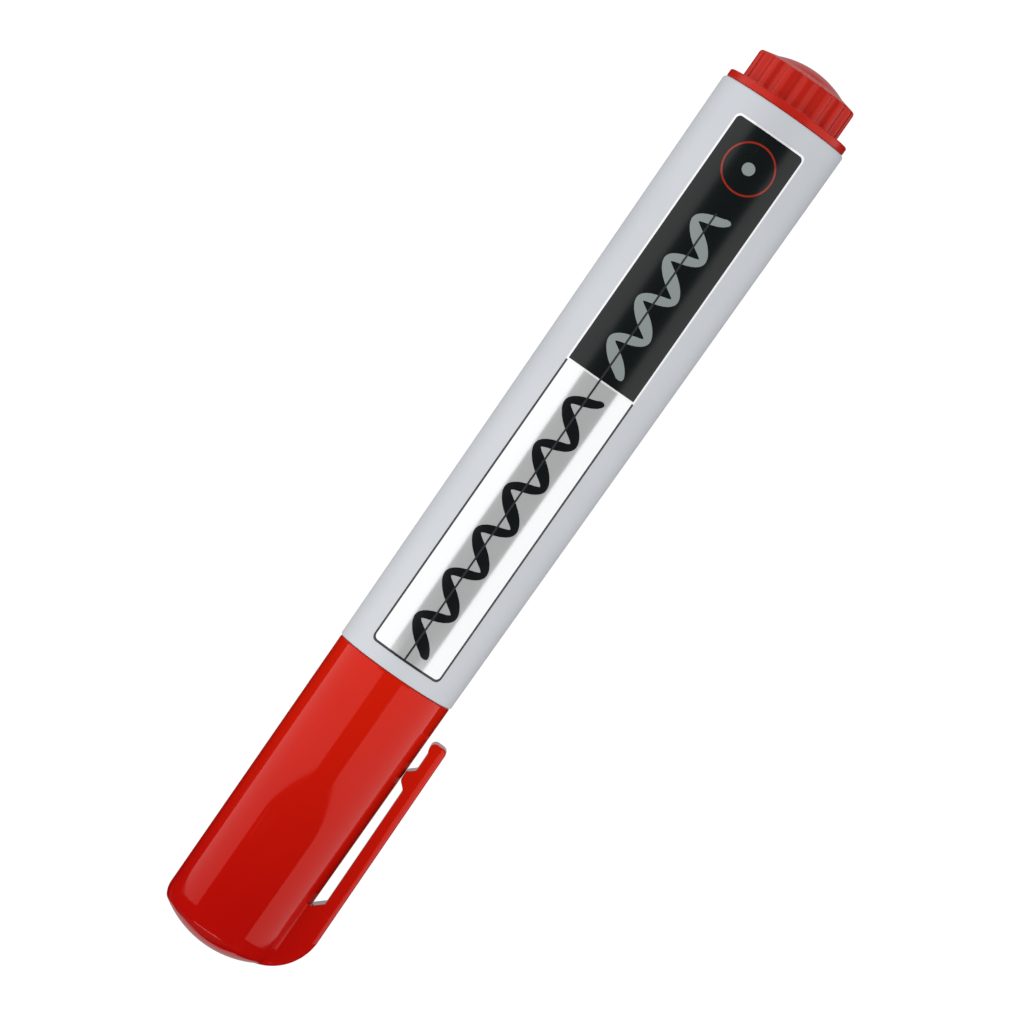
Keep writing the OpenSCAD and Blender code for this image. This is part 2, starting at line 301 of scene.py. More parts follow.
def supported(points, gap=0.08):
    """Adds a point close to both ends of every long straight stretch."""
    result = [points[0]]
    for (x0, r0), (x1, r1) in zip(points, points[1:]):
        span = math.hypot(x1 - x0, r1 - r0)
        if span > 6 * gap:
            result += [(x0 + (x1 - x0) * s, r0 + (r1 - r0) * s) for s in (gap / span, 1 - gap / span)]
        result.append((x1, r1))
    return result


def draw_out(name, points):
    """A chain of edges through points given as (x, y, z) in millimetres; stays in edit mode."""
    bpy.ops.object.select_all(action="DESELECT")
    bpy.ops.mesh.primitive_plane_add(size=MM)
    piece = bpy.context.object
    piece.name = name
    bpy.ops.object.mode_set(mode="EDIT")
    bpy.ops.mesh.select_mode(type="VERT")
    bpy.ops.mesh.select_all(action="SELECT")
    bpy.ops.mesh.merge(type="CENTER")
    places = [Vector(p) * MM for p in points]
    bpy.ops.transform.translate(value=places[0])
    for before, after in zip(places, places[1:]):
        bpy.ops.mesh.extrude_vertices_move(TRANSFORM_OT_translate={"value": after - before})
    bpy.ops.mesh.select_all(action="SELECT")
    bpy.ops.mesh.remove_doubles(threshold=1e-7)
    return piece


def turned(name, profile, sectors=((360, 160),), closed=True):
    """Spins a profile of [x, r] points round x, from the label's side away from the clip.
    sectors are (degrees, steps)."""
    points = supported(list(profile) + ([profile[0]] if closed else []))
    piece = draw_out(name, [(x, 0, r) for x, r in points])
    for degrees, steps in sectors:
        bpy.ops.mesh.spin(steps=steps, angle=math.radians(degrees), center=(0, 0, 0), axis=(1, 0, 0))
    bpy.ops.mesh.select_all(action="SELECT")
    bpy.ops.mesh.remove_doubles(threshold=2e-7)
    bpy.ops.mesh.normals_make_consistent(inside=False)
    bpy.ops.object.mode_set(mode="OBJECT")
    return piece


# %% [markdown]
# Ribs and fins are pulled out of a turned wall, the way a moulder adds a rib to a tube: the wall has
# narrow strips of faces where the ribs stand, and those are extruded and set to their new radius.

# %% Helpers: ribs, and the last steps of a piece
rib_count = 6


def rib_sectors(rib_degrees, rib_steps=2, wall_steps=24):
    """Spin sectors with a narrow strip for each rib, the first one 30 degrees from the start."""
    pitch = 360 / rib_count
    wall = (pitch - rib_degrees, wall_steps)
    half_wall = (wall[0] / 2, wall_steps // 2)
    rib = (rib_degrees, rib_steps)
    return (half_wall,) + (rib, wall) * (rib_count - 1) + (rib, half_wall)


def pull_ribs(piece, rib_degrees, x0, x1, wall_r, rib_r):
    """Extrudes the strips of wall between x0 and x1 whose radius lies in wall_r, out or in to rib_r."""
    pitch = 360 / rib_count
    for item in (*piece.data.edges, *piece.data.vertices):
        item.select = False
    for face in piece.data.polygons:
        x, y, z = face.center / MM
        angle = math.degrees(math.atan2(z, y)) % pitch
        near_rib = min(angle, pitch - angle) < rib_degrees / 2
        in_wall = wall_r[0] < math.hypot(y, z) < wall_r[1]
        face.select = near_rib and in_wall and x0 < x < x1
    bpy.ops.object.mode_set(mode="EDIT")
    bpy.ops.mesh.select_mode(type="FACE")
    bpy.ops.mesh.extrude_region()
    bpy.ops.object.mode_set(mode="OBJECT")
    for v in piece.data.vertices:
        if v.select:
            scale = rib_r * MM / math.hypot(v.co.y, v.co.z)
            v.co.y *= scale
            v.co.z *= scale


def lay_down(piece, material, body=None, nodes=(), sharp=30):
    """Shades a piece, lays it on the table, ties it to a body, hides the CAD solids it replaces."""
    bpy.ops.object.select_all(action="DESELECT")
    piece.select_set(True)
    bpy.context.view_layer.objects.active = piece
    bpy.ops.object.shade_smooth_by_angle(angle=math.radians(sharp))
    piece.data.transform(LAY)
    piece.data.materials.append(material)
    if body:
        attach(piece, body)
    if nodes:
        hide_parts(*nodes)
    print(piece.name, "has", len(piece.data.vertices), "vertices")

# %% [markdown]
# Every material is procedural: it is worked out from the place of a point on the marker, so it needs
# no pictures. Effects that several plastics share are node groups. Each group is a small tree with
# named inputs and outputs, and a material sets its own values on it.

# %% Helpers: node trees


def node(tree, kind, inputs=(), **settings):
    """Adds a node. inputs pairs a socket's name or number with a value or with another socket."""
    made = tree.nodes.new(kind)
    for key, value in settings.items():
        setattr(made, key, value)
    for key, value in dict(inputs).items():
        if isinstance(value, bpy.types.NodeSocket):
            tree.links.new(value, made.inputs[key])
        else:
            made.inputs[key].default_value = value
    return made


def new_group(name, inputs, outputs):
    """An empty shader group; returns its tree, its inputs to read and its outputs to fill."""
    tree = bpy.data.node_groups.new(name, "ShaderNodeTree")
    for label, value in inputs.items():
        socket = tree.interface.new_socket(label, in_out="INPUT", socket_type="NodeSocketFloat")
        socket.default_value = value
    for label in outputs:
        tree.interface.new_socket(label, in_out="OUTPUT", socket_type="NodeSocketFloat")
    return tree, tree.nodes.new("NodeGroupInput").outputs, tree.nodes.new("NodeGroupOutput").inputs


def use_group(tree, group, **values):
    """Places a group in a material with its own values; underscores stand for spaces."""
    made = tree.nodes.new("ShaderNodeGroup")
    made.node_tree = group
    for key, value in values.items():
        made.inputs[key.replace("_", " ")].default_value = value
    return made.outputs


def object_place(tree):
    """The place of a point on the marker."""
    return node(tree, "ShaderNodeTexCoord").outputs["Object"]


def maths(tree, operation, *values):
    """A sum or product of values or sockets."""
    return node(tree, "ShaderNodeMath", dict(enumerate(values)), operation=operation).outputs[0]


def ranged(tree, value, low=0.0, high=1.0, to_low=0.0, to_high=1.0):
    """Maps a value from one range to another and holds it inside."""
    return node(tree, "ShaderNodeMapRange", {"Value": value, "From Min": low, "From Max": high,
                                             "To Min": to_low, "To Max": to_high}).outputs[0]


def noise(tree, place, scale, detail, roughness=0.5):
    """Noise in space; a larger scale makes it finer."""
    return node(tree, "ShaderNodeTexNoise", {"Vector": place, "Scale": scale, "Detail": detail,
                                             "Roughness": roughness}).outputs["Fac"]


def add_bump(tree, shader, height, strength, distance):
    """Relief that only the shading shows."""
    bump = node(tree, "ShaderNodeBump", {"Height": height, "Strength": strength,
                                         "Distance": distance})
    tree.links.new(bump.outputs[0], shader.inputs["Normal"])

# %% [markdown]
# Moulded plastic is never quite even. Its skin copies the fine texture of the mould, its colour
# drifts a little where the melt flowed, and handling leaves hairline scratches. The first group makes
# grain and drift from two noises of very different size.

# %% Group: moulded skin
skin, given, result = new_group("moulded_skin", {"Grain Size": 3000.0, "Drift Size": 60.0},
                                ("Grain", "Drift"))
place = object_place(skin)
skin.links.new(noise(skin, place, given["Grain Size"], 2.0, 0.6), result["Grain"])
skin.links.new(noise(skin, place, given["Drift Size"], 3.0), result["Drift"])

# %% [markdown]
# Hairlines are a noise squeezed hard along one direction and cut off high, so that only a few thin
# streaks are left. Two of them cross at an angle. A slow noise then fades them in patches, because
# a marker is handled more in some places than in others.

# %% Group: hairline scratches
hairlines, given, result = new_group("hairlines", {"Amount": 0.5}, ("Mask",))
place = object_place(hairlines)
streaks = []
for turn in (0.35, -0.8):
    squeezed = node(hairlines, "ShaderNodeMapping", {
        "Vector": place, "Rotation": (turn, turn / 2, turn), "Scale": (90.0, 2600.0, 2600.0)})
    streaks.append(ranged(hairlines, noise(hairlines, squeezed.outputs[0], 1.0, 1.0), 0.68, 0.76))
both = maths(hairlines, "MAXIMUM", *streaks)
worn = ranged(hairlines, noise(hairlines, place, 110.0, 1.0), 0.42, 0.62)
faded = maths(hairlines, "MULTIPLY", both, worn)
hairlines.links.new(maths(hairlines, "MULTIPLY", faded, given["Amount"]), result["Mask"])

# %% [markdown]
# Edges rub first. The renderer knows how pointed the surface is at each place, and that value, broken
# up by noise, marks where an edge has been polished pale.

# %% Group: rubbed edges
rubbed, given, result = new_group("rubbed_edges", {"Amount": 0.5, "Start": 0.52}, ("Mask",))
pointed = node(rubbed, "ShaderNodeNewGeometry").outputs["Pointiness"]
edge = ranged(rubbed, pointed, given["Start"], maths(rubbed, "ADD", given["Start"], 0.05))
rough = ranged(rubbed, noise(rubbed, object_place(rubbed), 700.0, 3.0), 0.35, 0.6)
mask = maths(rubbed, "MULTIPLY", edge, rough)
rubbed.links.new(maths(rubbed, "MULTIPLY", mask, given["Amount"]), result["Mask"])

# %% [markdown]
# A plastic material puts these together. Its colour runs from one value to another along the marker,
# drifts a little, and pales where an edge is rubbed. Roughness goes up in the hairlines. The grain
# is a bump far too small to see as shape, but it softens the reflections.

# %% Helper: a moulded plastic


def mix(tree, factor, first, second):
    """Blends two colours or colour sockets."""
    blend = node(tree, "ShaderNodeMix", {0: factor, 6: first, 7: second}, data_type="RGBA")
    return blend.outputs[2]


def along(tree, x0, x1):
    """A value that goes from 0 to 1 between two places along the marker, in millimetres."""
    parts = node(tree, "ShaderNodeSeparateXYZ", {0: object_place(tree)})
    return ranged(tree, parts.outputs["X"], start_x + x0 * MM, start_x + x1 * MM)


def uneven_gloss(tree, shader, drift, roughness, scratches, spread):
    """Roughness that drifts by spread and goes up in the hairlines."""
    marks = use_group(tree, hairlines, Amount=scratches)
    scratched = maths(tree, "ADD", marks["Mask"], roughness)
    uneven = maths(tree, "MULTIPLY_ADD", drift, spread, scratched)
    tree.links.new(uneven, shader.inputs["Roughness"])


def moulded(name, colours, roughness, grain_size=2600.0, grain_depth=0.02, scratches=0.12,
            pale=(0.8, 0.8, 0.8), rub=0.25):
    """A plastic. colours is ((x, colour), (x, colour)) along the marker."""
    material, tree, shader = new_material(name)
    (x0, first), (x1, second) = colours
    base = mix(tree, along(tree, x0, x1), (*first, 1), (*second, 1))
    skin_out = use_group(tree, skin, Grain_Size=grain_size, Drift_Size=70.0)
    tone = ranged(tree, skin_out["Drift"], to_low=0.93, to_high=1.05)
    drifted = node(tree, "ShaderNodeVectorMath", {0: base, 1: tone}, operation="MULTIPLY")
    edges = use_group(tree, rubbed, Amount=rub)
    colour = mix(tree, edges["Mask"], drifted.outputs[0], (*pale, 1))
    tree.links.new(colour, shader.inputs["Base Color"])
    uneven_gloss(tree, shader, skin_out["Drift"], roughness, scratches, spread=0.04)
    add_bump(tree, shader, skin_out["Grain"], grain_depth, distance=0.00005)
    return material

# %% [markdown]
# The cap, its clip and the plug are the same glossy red polypropylene. It lets some light in, and
# what comes back out is red, so its gloss looks warm: a tint on the specular does that. The cap's red
# is painted a little darker towards the closed end and lighter towards the mouth, as painted shade.

# %% Materials: red plastics
# Painted shade: the cap's red is darker towards the closed end and lighter towards the mouth.
shaded_red, lit_red = (0.48, 0.0044, 0.0026), (0.64, 0.0120, 0.0028)
cap_red = moulded("cap_red", ((6, shaded_red), (42, lit_red)), 0.04, grain_depth=0.01,
                  pale=(0.75, 0.12, 0.09), rub=0.12)
plug_red = moulded("plug_red", ((128, (0.53, 0.013, 0.006)), (136, (0.49, 0.012, 0.005))), 0.24,
                   grain_depth=0.015, pale=(0.75, 0.12, 0.09))
for gloss in (cap_red, plug_red):
    shader = gloss.node_tree.nodes["Principled BSDF"]
    shader.inputs["Specular IOR Level"].default_value = 0.8
    shader.inputs["Specular Tint"].default_value = (1.0, 0.30, 0.26, 1)

# %% [markdown]
# The barrel is the same kind of plastic with a satin skin from an etched mould, in a cool light grey,
# painted a little darker towards the plug end as painted shade.
# The parts that only show with the cap off are plainer: a white holder, and a milky cup inside the
# cap.

# %% Materials: barrel, holder and cup
# Painted shade: the barrel's grey darkens from the cap's mouth towards the plug end.
barrel_grey = moulded("barrel_grey", ((43, (0.62, 0.64, 0.675)), (129, (0.575, 0.598, 0.638))),
                      0.4, grain_size=4200.0, grain_depth=0.25, scratches=0.08, rub=0.3,
                      pale=(0.85, 0.86, 0.88))
holder_white = moulded("holder_white", ((14, (0.78, 0.77, 0.75)), (36, (0.80, 0.81, 0.80))), 0.36,
                       grain_depth=0.08)
cup_milky = moulded("cup_milky", ((5, (0.84, 0.84, 0.80)), (24, (0.82, 0.80, 0.76))), 0.42,
                    grain_depth=0.1)

# %% [markdown]
# The cap starts as a lathe profile: a shallow dome, a crisp ring around it, a rounded corner and a
# slightly flaring side. The clip's root grows out of it as one moulding, with a smooth saddle where
# the two meet. A boolean union would leave a hard line there. So the lathe gets fine rings and a
# fine sector below the clip, and its points are moved outwards to the larger of two shapes, the cap
# and the root, with the smooth maximum of the two radii.

# %% Cap: profile
cap_len = (cap_high[0] - cap_low[0]) / MM
dome_height, dome_r = 2.4, 7.7
side_x, front_r, mouth_r = 4.2, 8.24, 8.41
cap_wall, mouth_round = 1.06, 0.25
bore_end, bore_step, mouth_bore = (4.6, 7.05), (31, 7.35), 7.65
inner_dome_turn = 31
fine_turn = 68
dome_sphere = (dome_r ** 2 + dome_height ** 2) / (2 * dome_height)
corner_rise = front_r - dome_r
corner_r = (corner_rise ** 2 + (side_x - dome_height) ** 2) / (2 * corner_rise)
dome_angle = math.degrees(math.asin(dome_r / dome_sphere))
corner_angle = math.degrees(math.asin((side_x - dome_height) / corner_r))
root_end = 12.1


def cap_r(x):
    """Radius of the cap's straight side."""
    return front_r + (mouth_r - front_r) * (x - side_x) / (cap_len - side_x)


def eased(before, corner, after, steps):
    """Rounds a corner of a profile with a small curve from one neighbour to the other."""
    shares = [i / steps for i in range(1, steps)]
    return [tuple((1 - t) ** 2 * a + 2 * t * (1 - t) * b + t * t * c
                  for a, b, c in zip(before, corner, after)) for t in shares]


dome = arc(dome_sphere, 0, dome_sphere, 180, 180 - dome_angle + 0.8, 26)
corner = arc(side_x, front_r - corner_r, corner_r, 90 + corner_angle - 3.2, 90, 12)
ring = eased(dome[-1], (dome_height, dome_r), corner[0], 6)
side_end = cap_len - mouth_round - 0.1
cap_profile = (
    dome + ring + corner
    + stretch(side_x, front_r, root_end, cap_r(root_end), 40)
    + [(root_end, cap_r(root_end)), (root_end + 0.002, cap_r(root_end))]
    + stretch(root_end, cap_r(root_end), side_end, cap_r(side_end), 44)
    + arc(cap_len - mouth_round, mouth_r - mouth_round, mouth_round, 90, 0, 6)
    + [(cap_len, mouth_bore), (cap_len - 0.4, bore_step[1]), bore_step, bore_end]
    + arc(dome_sphere, 0, dome_sphere - cap_wall, 180 - inner_dome_turn, 180, 10))
cap = turned("cap", cap_profile, sectors=((236, 80), (fine_turn, 136), (56, 19)), closed=False)
print("cap ring radius in mm:", round(dome_r, 2), "corner radius:", round(corner_r, 2))

# %% [markdown]
# The root is given by a test that says if a point is inside it. Its outline is a round stretch from
# the dome to the clip's straight outer face, with rounded long edges. How far it reaches in any one
# direction is found by halving the distance over and over, and the cap's points are moved there.

# %% Cap: the clip's root
clip_half, clip_edge = 2.8, 0.9
clip_rise, clip_fall, clip_tip = 11.68, 0.33, 38.2
root_x, root_r = 8.7, 7.15
root_h = clip_rise - root_r
root_start = 1.9
crease, saddle, saddle_narrowing = 0.25, 1.0, 0.85


def clip_outer(x):
    """Height of the clip's outer face over the axis."""
    return clip_rise - clip_fall * (x - root_x) / (clip_tip - root_x)


def in_root(x, h, w):
    """Is a point at height h and sideways place w inside the rounded root?"""
    if abs(w) > clip_half:
        return False
    beyond = max(abs(w) - (clip_half - clip_edge), 0)
    drop = clip_edge - math.sqrt(clip_edge ** 2 - beyond ** 2)
    if x < root_x:
        return h < root_h or math.hypot(root_x - x, h - root_h) < root_r - drop
    return h < clip_outer(x) - drop


def root_reach(x, angle):
    """How far the root reaches from the axis in one direction, by halving the distance."""
    low, high = 0, clip_rise + 2
    for _ in range(24):
        middle = (low + high) / 2
        if in_root(x, middle * math.cos(angle), middle * math.sin(angle)):
            low = middle
        else:
            high = middle
    return low


def smooth_max(a, b, width):
    """The larger of two values, with a soft change-over where they are closer than width."""
    near = max(width - abs(a - b), 0) / width
    return max(a, b) + near * near * width / 4


raised = 0
for v in cap.data.vertices:
    x, y, z = v.co / MM
    radius = math.hypot(y, z)
    angle = math.atan2(z, -y)
    outside = radius > (cap_r(x) - 0.05 if x > side_x else 6.4 + 0.4 * (x - root_start))
    if root_start < x < root_end + 0.001 and outside and abs(angle) < math.radians(fine_turn / 2):
        narrower = 1 - saddle_narrowing * smoothly(x, 6, root_end)
        width = crease + saddle * smoothly(x, 2.4, 5) * narrower
        reached = smooth_max(radius, root_reach(x, angle), width)
        v.co.y *= reached / radius
        v.co.z *= reached / radius
        raised += 1
print("points raised for the root:", raised)
lay_down(cap, cap_red, "cap", ["cap_shell"], sharp=28)

# %% [markdown]
# The clip's arm is a bar with rounded outer edges, a bump that bears on the cap, and a round tip. It
# is one smooth tube of cross-sections. A grid is the quickest start for such a tube: one direction
# runs along the arm, the other round its section, and the seam is merged afterwards. The arm bends
# near its root on the real marker; here it is laid down as it rests, tied to no body.

# %% Clip arm
clip_thick, tip_r = 2.0, 0.75
bump_x, bump_top, bump_soft = (30.85, 34.0), (31.95, 33.1), 0.15
tip_extra, tip_swell = 0.28, (36.5, 37.3)
slope_end = 13.3
bump_h = cap_r(bump_top[1]) + 0.03


def tip_drop(x):
    """How far the round tip has drawn in at x."""
    beyond = max(x - (clip_tip - tip_r), 0)
    return tip_r - math.sqrt(max(tip_r ** 2 - beyond ** 2, 0))


def arm_under(x):
    """Height of the arm's underside: slanted start, straight, bump, straight, thicker tip."""
    plain = clip_outer(x) - clip_thick - tip_extra * smoothly(x, *tip_swell)
    start = cap_r(root_end) + (clip_outer(slope_end) - clip_thick - cap_r(root_end)) * share_of(
        x, root_end, slope_end)
    if x < slope_end:
        return start
    up = smoothly(x, bump_x[0] - bump_soft, bump_top[0] + bump_soft)
    down = 1 - smoothly(x, bump_top[1] - bump_soft, bump_x[1] + bump_soft)
    return plain - (plain - bump_h) * min(up, down)


def section(top, under, half):
    """Points (sideways, height) round a section: crisp edges below and well rounded ones above."""
    upper = min(clip_edge, (top - under) / 2 - 0.01, half - 0.01)
    lower = min(0.15, (top - under) / 4)
    gap = min(0.05, (top - under - upper - lower) / 3)
    right = ([(half - lower - gap, under)]
             + arc(half - lower, under + lower, lower, -90, 0, 3)
             + [(half, under + lower + gap), (half, top - upper - gap)]
             + arc(half - upper, top - upper, upper, 0, 90, 8)
             + [(half - upper - gap, top)])
    left = [(-w, h) for w, h in reversed(right)]
    return [(0, under)] + right + [(0, top)] + left + [(0, under)]


# Places of the sections, closer together where the outline turns.
stations = (
    [root_end + 0.06 * i for i in range(22)] + [13.5 + 0.5 * i for i in range(34)]
    + [30.4 + 0.12 * i for i in range(32)] + [34.5 + 0.5 * i for i in range(6)]
    + [clip_tip - tip_r + tip_r * math.sin(math.radians(5 * i)) for i in range(19)])
loops = [[(x, -h, w) for w, h in section(clip_outer(x) - tip_drop(x), arm_under(x) + tip_drop(x),
                                         clip_half - 0.8 * tip_drop(x))] for x in stations]
around = len(loops[0])
bpy.ops.object.select_all(action="DESELECT")
bpy.ops.mesh.primitive_grid_add(x_subdivisions=len(loops) - 1, y_subdivisions=around - 1, size=2)
arm = bpy.context.object
arm.name = "clip_arm"
for v in arm.data.vertices:
    row = round((v.co.x + 1) / 2 * (len(loops) - 1))
    column = round((v.co.y + 1) / 2 * (around - 1))
    v.co = Vector(loops[row][column]) * MM
bpy.ops.object.mode_set(mode="EDIT")
bpy.ops.mesh.select_all(action="SELECT")
bpy.ops.mesh.remove_doubles(threshold=1e-6)
bpy.ops.mesh.select_all(action="DESELECT")
bpy.ops.mesh.select_mode(type="EDGE")
bpy.ops.mesh.select_non_manifold()
bpy.ops.mesh.edge_face_add()
bpy.ops.mesh.select_all(action="SELECT")
bpy.ops.mesh.normals_make_consistent(inside=False)
bpy.ops.object.mode_set(mode="OBJECT")
lay_down(arm, cap_red, None, ["cap_clip"], sharp=30)
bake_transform(arm)

# %% [markdown]
# The barrel is one long moulding: the nose and neck under the cap, the satin grip, and the seat for
# the plug. It is turned like the cap. Six ribs inside hold the ink reservoir in the middle.

# %% Barrel
shoulder = cap_len + 0.05
rear = (barrel_high[0] - start_x) / MM
barrel_front_r, barrel_rear_r = 8.53, 9.23
front_round, rear_round = 0.2, 0.4


def barrel_r(x):
    """Radius of the barrel's tapered grip."""
    share = (x - shoulder - front_round) / (rear - rear_round - shoulder - front_round)
    return barrel_front_r + (barrel_rear_r - barrel_front_r) * share


barrel_profile = (
    [(25.5, 4.4), (25.5, 5.4), (25.8, 5.7), (32.4, 6.9), (33.4, 7.2), (37.2, 7.2), (37.8, 7.3),
     (38.6, 7.3), (39.2, 7.2), (shoulder, 7.2)]
    + arc(shoulder + front_round, barrel_front_r - front_round, front_round, 180, 90, 5)
    + stretch(shoulder + 0.4, barrel_r(shoulder + 0.4), rear - 0.6, barrel_r(rear - 0.6), 12)
    + arc(rear - rear_round, barrel_rear_r - rear_round, rear_round, 90, 0, 7)
    + [(rear, 8.1), (rear - 0.4, 7.8), (rear - 11.4, 7.8), (rear - 11.7, 7.65), (110, 7.55),
       (46.6, 7.2), (46, 6.05), (36, 6.05), (36, 4.4)])
rib_turn = 7.0
barrel = turned("barrel_tube", barrel_profile, sectors=rib_sectors(rib_turn))
pull_ribs(barrel, rib_turn, x0=46.5, x1=110.1, wall_r=(7.0, 7.62), rib_r=6.06)
lay_down(barrel, barrel_grey, "barrel", ["barrel"])

# %% [markdown]
# The end plug is a stopper: a skirt with two snap rings inside the barrel, a flange that closes it,
# and a fluted knob with a domed end.

# %% End plug: turned body
flange_r, flange_thick, flange_round = 8.94, 1.15, 0.25
knob_r, knob_len, knob_round = 7.3, 4.25, 0.55
knob_x = rear + flange_thick
knob_end = knob_x + knob_len
knob_sphere, knob_dome_r, knob_bore = 12.0, 5, 5.2
skirt_x = rear - 9.4
skirt_r, skirt_bore, bead = 7.7, 6.5, 0.07
snap_rings = [(skirt_x + x, skirt_r + r) for x, r in (
    (1.6, 0), (1.9, bead), (2.6, bead), (2.9, 0), (5.6, 0), (5.9, bead), (6.6, bead), (6.9, 0))]
dome_turn = math.degrees(math.asin(knob_dome_r / knob_sphere))
plug_profile = (
    [(skirt_x, skirt_bore), (skirt_x, skirt_r - 0.3), (skirt_x + 0.6, skirt_r)]
    + snap_rings + [(rear - 0.02, skirt_r)]
    + arc(rear + flange_round, flange_r - flange_round, flange_round, 180, 90, 5)
    + arc(knob_x - flange_round, flange_r - flange_round, flange_round, 90, 0, 5)
    + [(knob_x, knob_r + 0.12), (knob_x + 0.12, knob_r)]
    + stretch(knob_x + 0.12, knob_r, knob_end - knob_round, knob_r, 10)
    + arc(knob_end - knob_round, knob_r - knob_round, knob_round, 90, 28, 6)
    + arc(marker_len - knob_sphere, 0, knob_sphere, dome_turn, 0, 14))
plug_inside = [(knob_end - 1.3, 0), (knob_end - 1.3, knob_bore), (rear + 0.6, knob_bore),
               (rear, skirt_bore), (skirt_x, skirt_bore)]
plug = turned("plug", plug_profile + plug_inside, sectors=((360, 384),), closed=False)

# %% [markdown]
# The flutes are wide and shallow. The knob's points are moved in to the smaller of two radii, the
# turned one and a wavy one, with the same soft change-over as at the clip's root. The fins are a
# cross inside the skirt that holds the reservoir forward: an outline, filled, extruded and bevelled.

# %% End plug: flutes and stop fins
flute_count, flute_depth, flute_phase = 16, 0.5, 0.62
flute_curve, flute_soft = 1.3, 0.15
flute_pitch = 2 * math.pi / flute_count

for v in plug.data.vertices:
    x, y, z = v.co / MM
    radius = math.hypot(y, z)
    if x > knob_x - 0.001 and 5.3 < radius < knob_r + 0.2:
        turn = math.atan2(z, y) / flute_pitch - flute_phase
        wavy = knob_r - flute_depth * (0.5 + 0.5 * math.cos(2 * math.pi * turn)) ** flute_curve
        cut = -smooth_max(-radius, -wavy, flute_soft)
        v.co.y *= cut / radius
        v.co.z *= cut / radius
lay_down(plug, plug_red, "plug", ["end_plug"], sharp=26)

fin_half, fin_thick = 6.45, 0.5
fin_x = 112.05
quarter = [(fin_half, -fin_thick), (fin_half, fin_thick), (fin_thick, fin_thick)]
cross = [(math.cos(a) * y - math.sin(a) * z, math.sin(a) * y + math.cos(a) * z)
         for a in (0, math.pi / 2, math.pi, 3 * math.pi / 2) for y, z in quarter]
fins = draw_out("plug_fins", [(fin_x, y, z) for y, z in cross + cross[:1]])
bpy.ops.mesh.edge_face_add()
bpy.ops.mesh.extrude_region_move(TRANSFORM_OT_translate={"value": ((rear - 0.1 - fin_x) * MM, 0, 0)})
bpy.ops.mesh.select_all(action="SELECT")
bpy.ops.mesh.normals_make_consistent(inside=False)
bpy.ops.mesh.bevel(offset=0.1 * MM, segments=2)
bpy.ops.object.mode_set(mode="OBJECT")
lay_down(fins, plug_red, "plug")

# %% [markdown]
# With the cap off, the nib and its holder show. The holder is turned, and four grooves along its bore
# let air past the nib, so the ends of the grooves show as notches around it.

# %% Nib holder
nib_r, nib_tip, nib_back = 2.4, 9.0, 36.0
holder_tip, seal_end, nose = 14.5, 24.0, 25.5
seal_r, collar_r = 4.5, 5.5
groove_depth, groove_half_turn = 0.45, 8.4
holder_profile = (
    [(holder_tip, nib_r)] + arc(holder_tip + 0.3, nib_r + 0.75, 0.3, 180, 115, 4)
    + [(holder_tip + 0.35, nib_r + 1.05), (holder_tip + 4, seal_r - 0.2), (holder_tip + 4.6, seal_r),
       (seal_end, seal_r), (seal_end, 5.2)]
    + arc(seal_end + 0.3, collar_r - 0.3, 0.3, 180, 90, 4)
    + [(nose, collar_r), (nose, 4.4), (nib_back, 4.4), (nib_back, nib_r)]
    + stretch(nib_back, nib_r, holder_tip, nib_r, 4))
holder = turned("nib_holder_turned", holder_profile, sectors=((360, 144),))
for v in holder.data.vertices:
    x, y, z = v.co / MM
    turn = (math.degrees(math.atan2(z, y)) - 45) % 90
    if math.hypot(y, z) < nib_r + 0.1 and min(turn, 90 - turn) < groove_half_turn:
        v.co.y *= (nib_r + groove_depth) / nib_r
        v.co.z *= (nib_r + groove_depth) / nib_r
lay_down(holder, holder_white, "barrel", ["nib_holder"])

# %% [markdown]
# Fibre materials are made of lines that all run along the marker. A noise squeezed along x gives
# them: it lightens and darkens the ink's red, and it is the bump as well. The nib is darkest at its
# worn tip, where dried ink builds up.

# %% Group and materials: fibres
fibres, given, result = new_group("fibres", {"Fineness": 6000.0}, ("Strands", "Clumps"))
place = object_place(fibres)
across = node(fibres, "ShaderNodeCombineXYZ", {0: 120.0, 1: given["Fineness"], 2: given["Fineness"]})
strand_place = node(fibres, "ShaderNodeVectorMath", {0: place, 1: across.outputs[0]},
                    operation="MULTIPLY")
fibres.links.new(noise(fibres, strand_place.outputs[0], 1.0, 2.0), result["Strands"])
fibres.links.new(noise(fibres, place, 900.0, 2.0), result["Clumps"])


def fibre(name, dark, light, tip=None):
    """Bonded fibre soaked with ink. tip is (x0, x1, colour) of a stained end."""
    material, tree, shader = new_material(name)
    out = use_group(tree, fibres)
    colour = mix(tree, ranged(tree, out["Strands"], 0.3, 0.7), (*dark, 1), (*light, 1))
    if tip:
        colour = mix(tree, along(tree, tip[0], tip[1]), (*tip[2], 1), colour)
    tree.links.new(colour, shader.inputs["Base Color"])
    tree.links.new(ranged(tree, out["Clumps"], to_low=0.55, to_high=0.9), shader.inputs["Roughness"])
    add_bump(tree, shader, out["Strands"], strength=0.6, distance=0.0001)
    return material


nib_fibre = fibre("nib_fibre", (0.16, 0.004, 0.004), (0.34, 0.012, 0.010),
                  tip=(9, 12.5, (0.06, 0.002, 0.002)))
ink_fibre = fibre("ink_fibre", (0.34, 0.02, 0.018), (0.62, 0.09, 0.07))

# %% [markdown]
# The nib is one rod: a bullet-shaped end, a long body in the holder and a tapered tail in the ink.

# %% Nib
bullet = 3.4
nose_points = [(nib_tip + bullet * (1 - math.cos(math.radians(a))), nib_r * math.sin(math.radians(a)))
               for a in range(0, 91, 6)]
nib = turned("nib_fibre_rod", nose_points + [(nib_back, nib_r), (42, 1.5), (42, 0)],
             sectors=((360, 96),), closed=False)
lay_down(nib, nib_fibre, "barrel", ["nib"])

# %% [markdown]
# A cup inside the cap seals around the holder, so the nib doesn't dry out. It is turned, and six thin
# fins that centre it in the cap are pulled out of its wall.

